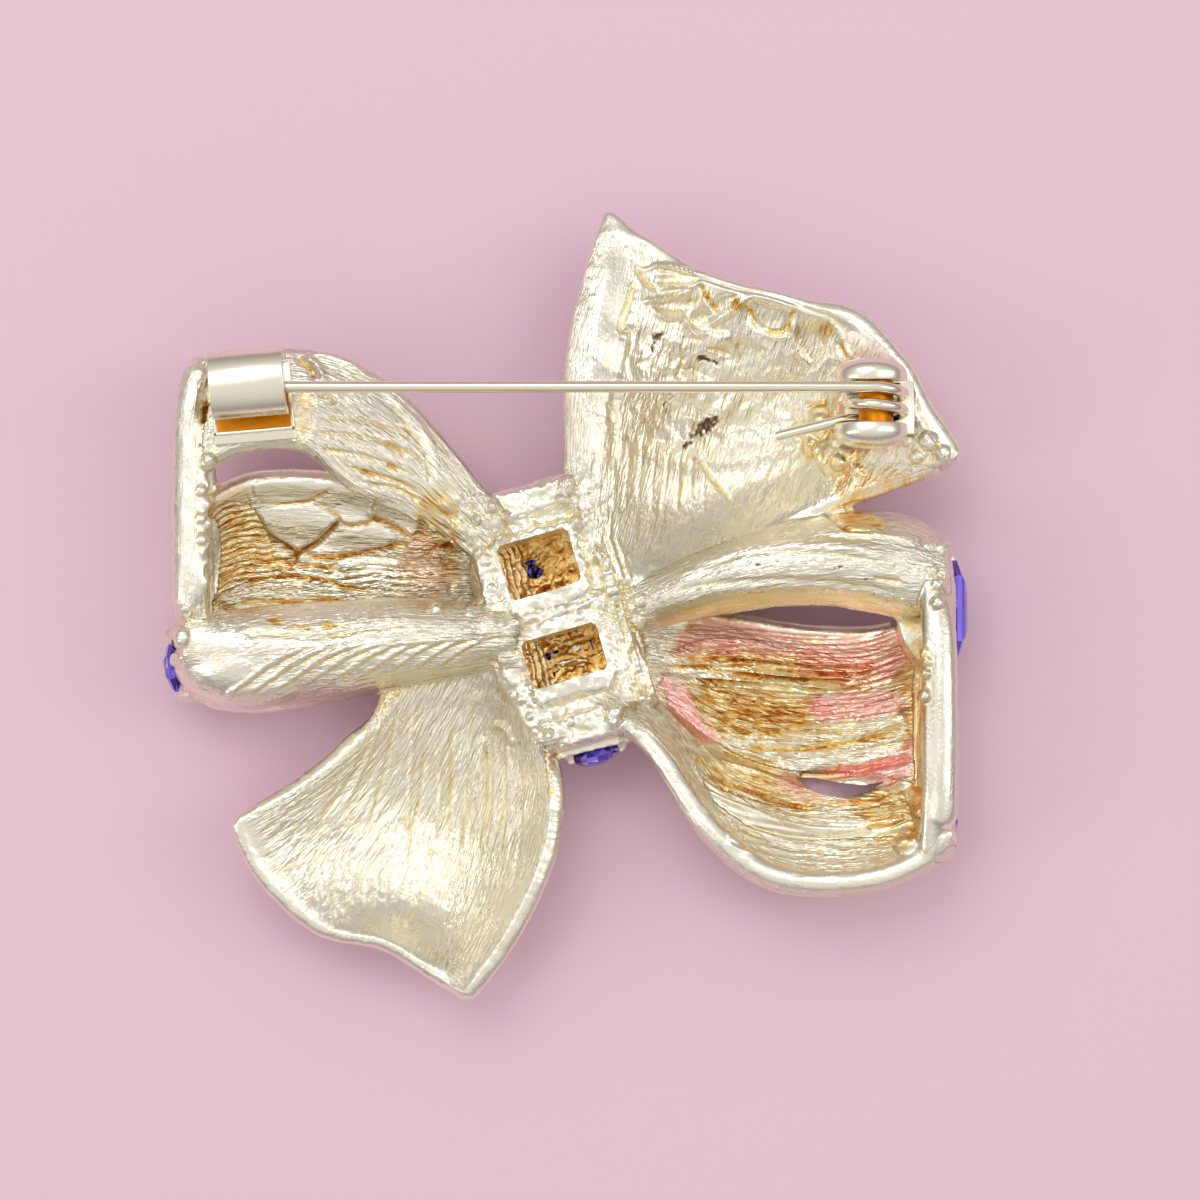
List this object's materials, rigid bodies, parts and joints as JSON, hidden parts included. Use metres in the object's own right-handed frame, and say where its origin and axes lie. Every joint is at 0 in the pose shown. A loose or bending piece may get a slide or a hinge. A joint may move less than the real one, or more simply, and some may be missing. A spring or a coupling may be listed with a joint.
{
  "type": "bow brooch",
  "caption": "Cast metal bow brooch with open loops, two tails, a knot with square stones, and a hinged pin that ends in a rolled catch.",
  "frame": {"origin": "centre of the bow's box, on the surface that its front rests on", "axes": "+X from the catch's loop to the hinge's side, +Y towards the upper tail, +Z out of the back, on the pin's side"},
  "size_m": [0.0494, 0.048, 0.0123],
  "materials": {
    "cast_gold_tone": "pale gold plating over a cast surface with fine drawn lines, glossy on the ridges",
    "fittings_gold_tone": "smooth bright pale gold plating",
    "violet_crystal": "faceted violet-blue glass"
  },
  "bodies": {
    "brooch": {"bow_casting": "cast_gold_tone", "hinge_rivet": "fittings_gold_tone", "knot_stone_upper": "violet_crystal", "knot_stone_lower": "violet_crystal", "knot_edge_stone": "violet_crystal", "left_corner_stone": "violet_crystal", "right_large_stone": "violet_crystal", "right_small_stone": "violet_crystal"},
    "pin": {"pin_wire": "fittings_gold_tone"}
  },
  "joints": [
    {"name": "pin_swing", "type": "hinge", "parent": "brooch", "child": "pin", "pos_m": [0.01896, 0.01214, 0.00963], "axis": [0, 1, 0], "range_deg": [0, 75]}
  ]
}
